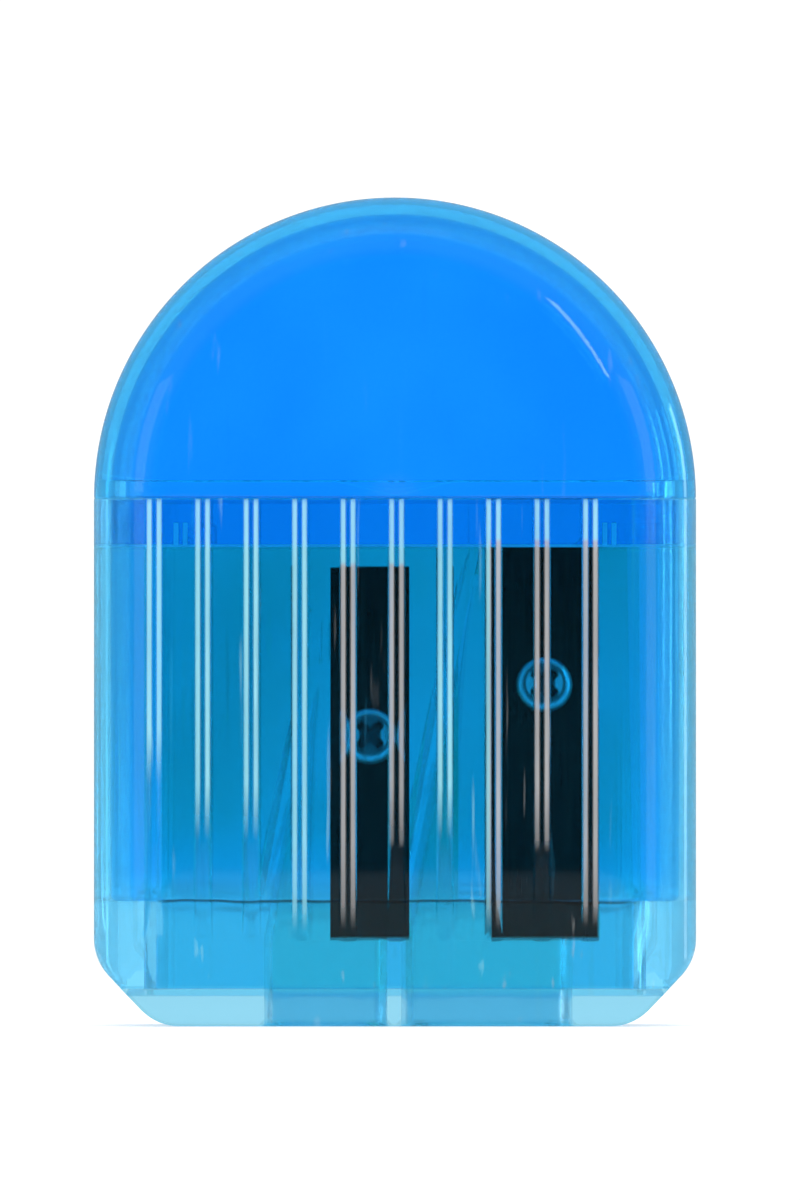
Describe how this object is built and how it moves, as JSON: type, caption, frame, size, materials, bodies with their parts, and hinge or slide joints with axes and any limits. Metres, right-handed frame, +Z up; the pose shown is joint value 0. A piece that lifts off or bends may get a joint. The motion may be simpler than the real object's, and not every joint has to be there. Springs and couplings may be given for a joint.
{
  "type": "pencil sharpener",
  "caption": "Canister pencil sharpener for standard and jumbo pencils: see-through ribbed grip, snapped-in blade block and a half-round pull-off shavings cover.",
  "frame": {"origin": "centre of the underside of the base, which the sharpener stands on", "axes": "+Z up through the round top of the cover, -Y towards the face that the blades look out of, +X to the right seen from that face"},
  "size_m": [0.04, 0.0198, 0.055],
  "materials": {
    "cover_plastic": "clear tinted, polished",
    "sleeve_plastic": "clear tinted, polished, with raised ribs",
    "block_plastic": "clear tinted, polished",
    "blade_steel": "blackened, with a fine lengthwise grain and a ground edge",
    "screw_steel": "plated"
  },
  "bodies": {
    "base": {"grip_sleeve": "sleeve_plastic", "sharpener_block": "block_plastic", "standard_blade": "blade_steel", "jumbo_blade": "blade_steel", "standard_blade_screw": "screw_steel", "jumbo_blade_screw": "screw_steel"},
    "cover": {"dome_cover": "cover_plastic"}
  },
  "joints": [
    {"name": "cover_slide", "type": "slide", "parent": "base", "child": "cover", "axis": [0, 0, 1], "range_m": [0, 0.02]}
  ]
}
